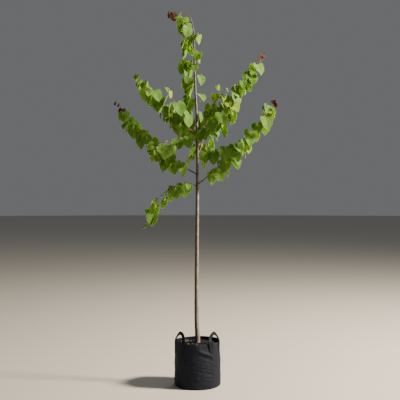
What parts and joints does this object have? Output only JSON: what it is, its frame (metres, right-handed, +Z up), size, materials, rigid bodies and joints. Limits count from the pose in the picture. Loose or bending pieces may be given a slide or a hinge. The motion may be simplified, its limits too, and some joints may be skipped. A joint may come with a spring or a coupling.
{
  "type": "sapling with root ball",
  "caption": "Young heart-leaved tree with a straight bare stem and an open crown, standing on its root ball in a round black fabric bag with strap handles.",
  "frame": {"origin": "centre of the bag's flat underside, on the surface that it stands on", "axes": "+Z up the trunk; the front, which shows both strap handles, faces -Y; +X to the right of the front"},
  "size_m": [1.2774, 0.7891, 2.9207],
  "materials": {
    "bag_fabric": "matt black spunbond cloth with fine creases",
    "strap_webbing": "woven black webbing",
    "compost": "dark crumbly compost with pale bark chips",
    "trunk_bark": "grey-brown young bark with pale speckles",
    "bough_bark": "smooth brown young bark",
    "foliage": "soft green leaves, bronze-red at the growing tips"
  },
  "bodies": {
    "root": {"bag": "bag_fabric", "bough_back_left": "bough_bark", "bough_back_low": "bough_bark", "bough_back_right": "bough_bark", "bough_front_left": "bough_bark", "bough_front_low": "bough_bark", "bough_front_right": "bough_bark", "bough_high_left": "bough_bark", "bough_high_right": "bough_bark", "bough_low_left": "bough_bark", "bough_low_right": "bough_bark", "bough_lower_left": "bough_bark", "bough_upper_left": "bough_bark", "bough_upper_right": "bough_bark", "foliage_back_left": "foliage", "foliage_back_low": "foliage", "foliage_back_right": "foliage", "foliage_front_left": "foliage", "foliage_front_low": "foliage", "foliage_front_right": "foliage", "foliage_high_left": "foliage", "foliage_high_right": "foliage", "foliage_leader": "foliage", "foliage_low_left": "foliage", "foliage_low_right": "foliage", "foliage_lower_left": "foliage", "foliage_upper_left": "foliage", "foliage_upper_right": "foliage", "handle_left": "strap_webbing", "handle_right": "strap_webbing", "root_ball": "compost", "spur_1": "foliage", "spur_10": "foliage", "spur_11": "foliage", "spur_12": "foliage", "spur_13": "foliage", "spur_14": "foliage", "spur_15": "foliage", "spur_16": "foliage", "spur_2": "foliage", "spur_3": "foliage", "spur_4": "foliage", "spur_5": "foliage", "spur_6": "foliage", "spur_7": "foliage", "spur_8": "foliage", "spur_9": "foliage", "trunk": "trunk_bark"}
  },
  "joints": []
}
